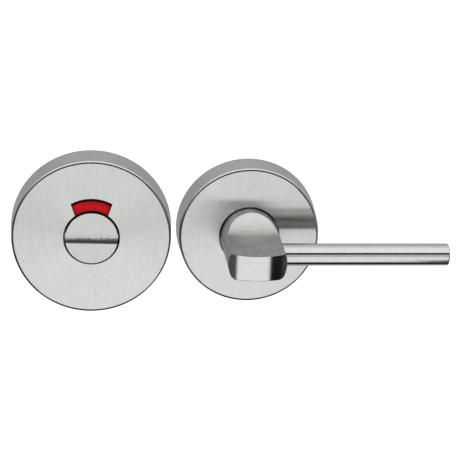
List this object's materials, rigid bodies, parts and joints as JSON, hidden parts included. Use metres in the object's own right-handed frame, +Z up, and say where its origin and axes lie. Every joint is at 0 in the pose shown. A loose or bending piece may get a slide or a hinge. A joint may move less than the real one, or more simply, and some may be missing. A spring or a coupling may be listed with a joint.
{
  "type": "bathroom turn and release",
  "caption": "Bathroom turn and release on round brushed steel roses: a long lever rod on a scooped turn body, and a coin-slot button with a red or white window.",
  "frame": {"origin": "centre of the turn's spindle on the door face plane, midway between the two through bolts", "axes": "+Z up, +X along the lever rod at rest, -Y out of the door face towards the user, +Y into the door"},
  "size_m": [0.1576, 0.0892, 0.0594],
  "materials": {
    "rose_steel": "satin, upright brushed grain",
    "turn_steel": "satin, brushed across",
    "rod_steel": "satin, fine rings round the rod",
    "button_steel": "satin, brushed across",
    "base_steel": "zinc plated pressing",
    "spindle_steel": "bright drawn bar",
    "screw_steel": "blackened",
    "spring_steel": "oiled spring steel",
    "zinc_steel": "zinc plated",
    "bush_nylon": "moulded nylon",
    "washer_white": "moulded nylon",
    "disc_black": "moulded",
    "signal_red": "gloss lacquer",
    "signal_white": "gloss lacquer"
  },
  "bodies": {
    "roses": {"turn_rose_cover": "rose_steel", "turn_base_plate": "base_steel", "turn_bush": "bush_nylon", "turn_friction_washer": "washer_white", "turn_through_bolts": "zinc_steel", "release_rose_cover": "rose_steel", "release_base_plate": "base_steel", "release_bush": "bush_nylon", "release_friction_washer": "washer_white", "release_sleeve_nuts": "zinc_steel"},
    "turn": {"turn_body": "turn_steel", "lever_rod": "rod_steel", "spindle": "spindle_steel", "spindle_grub_screw": "screw_steel", "turn_circlip": "spring_steel"},
    "release": {"release_button": "button_steel", "indicator_disc": "disc_black", "indicator_red_field": "signal_red", "indicator_white_field": "signal_white", "release_circlip": "spring_steel"}
  },
  "joints": [
    {"name": "turn_pivot", "type": "hinge", "parent": "roses", "child": "turn", "pos_m": [0, 0, 0], "axis": [0, -1, 0], "range_deg": [0, 90]},
    {"name": "release_pivot", "type": "hinge", "parent": "roses", "child": "release", "pos_m": [-0.0579, 0, -0.0004], "axis": [0, -1, 0], "range_deg": [-90, 0]}
  ],
  "couplings": [
    {"joint": "release_pivot", "follows": "turn_pivot", "ratio": -1}
  ]
}
